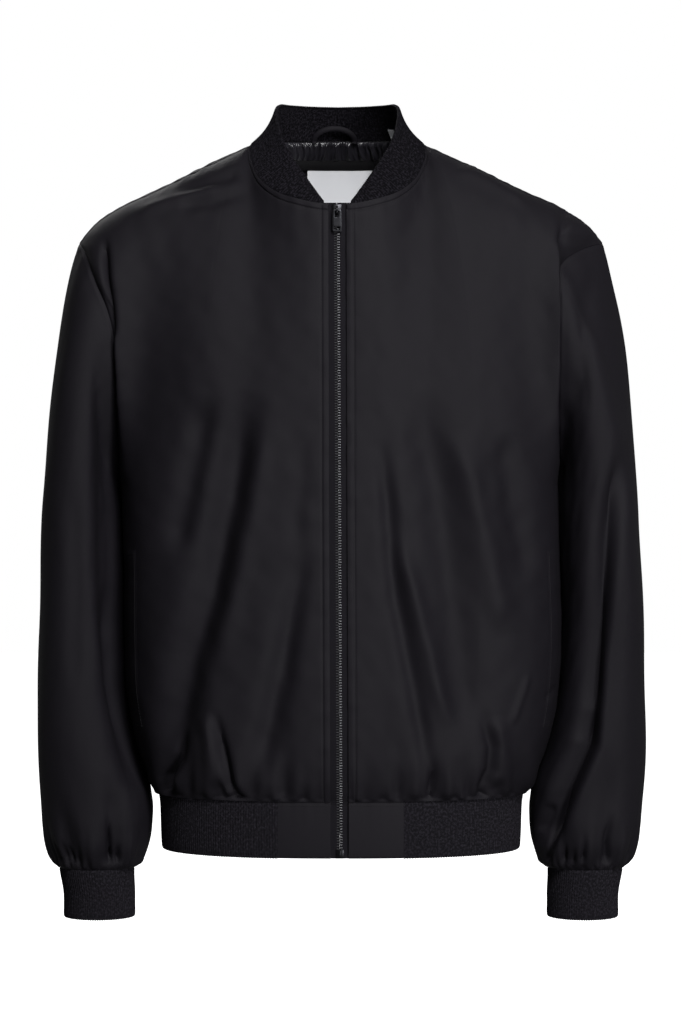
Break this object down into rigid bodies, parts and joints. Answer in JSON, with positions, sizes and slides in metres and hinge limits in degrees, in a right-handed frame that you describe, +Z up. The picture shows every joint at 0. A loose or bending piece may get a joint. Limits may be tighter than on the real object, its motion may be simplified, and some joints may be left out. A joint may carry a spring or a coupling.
{
  "type": "bomber jacket",
  "caption": "Zipped woven bomber jacket in its worn, hollow form, with ribbed collar, cuffs and hem and side welt pockets.",
  "frame": {"origin": "midway between the two high shoulder points, where the jacket rests on its wearer", "axes": "+Z up, the front faces -Y, +X to the right of someone who looks at the front"},
  "size_m": [0.6062, 0.2475, 0.8191],
  "materials": {
    "shell": "matte smooth woven, near black",
    "rib": "matte rib knit, near black",
    "satin": "satin lining, near black",
    "tape": "woven zip tape, near black",
    "gunmetal": "dark gunmetal",
    "label": "white woven satin, bare"
  },
  "bodies": {
    "jacket": {"front_left": "shell", "front_right": "shell", "back": "shell", "sleeve_left": "shell", "sleeve_right": "shell", "collar": "rib", "cuff_left": "rib", "cuff_right": "rib", "hem_rib": "rib", "hem_tab_left": "shell", "hem_tab_right": "shell", "pocket_left": "shell", "pocket_right": "shell", "zip_tape_left": "tape", "zip_tape_right": "tape", "zip_chain": "gunmetal", "zip_slider": "gunmetal", "zip_box": "gunmetal", "neck_satin": "satin", "neck_facing": "shell", "neck_label": "label", "collar_tab": "label", "hanger_loop": "shell"},
    "zip_pull": {"zip_pull": "gunmetal"}
  },
  "joints": [
    {"name": "zip_pull_hinge", "type": "hinge", "parent": "jacket", "child": "zip_pull", "pos_m": [-0.00397, -0.09185, -0.0765], "axis": [-1, 0, 0], "range_deg": [0, 150]}
  ]
}
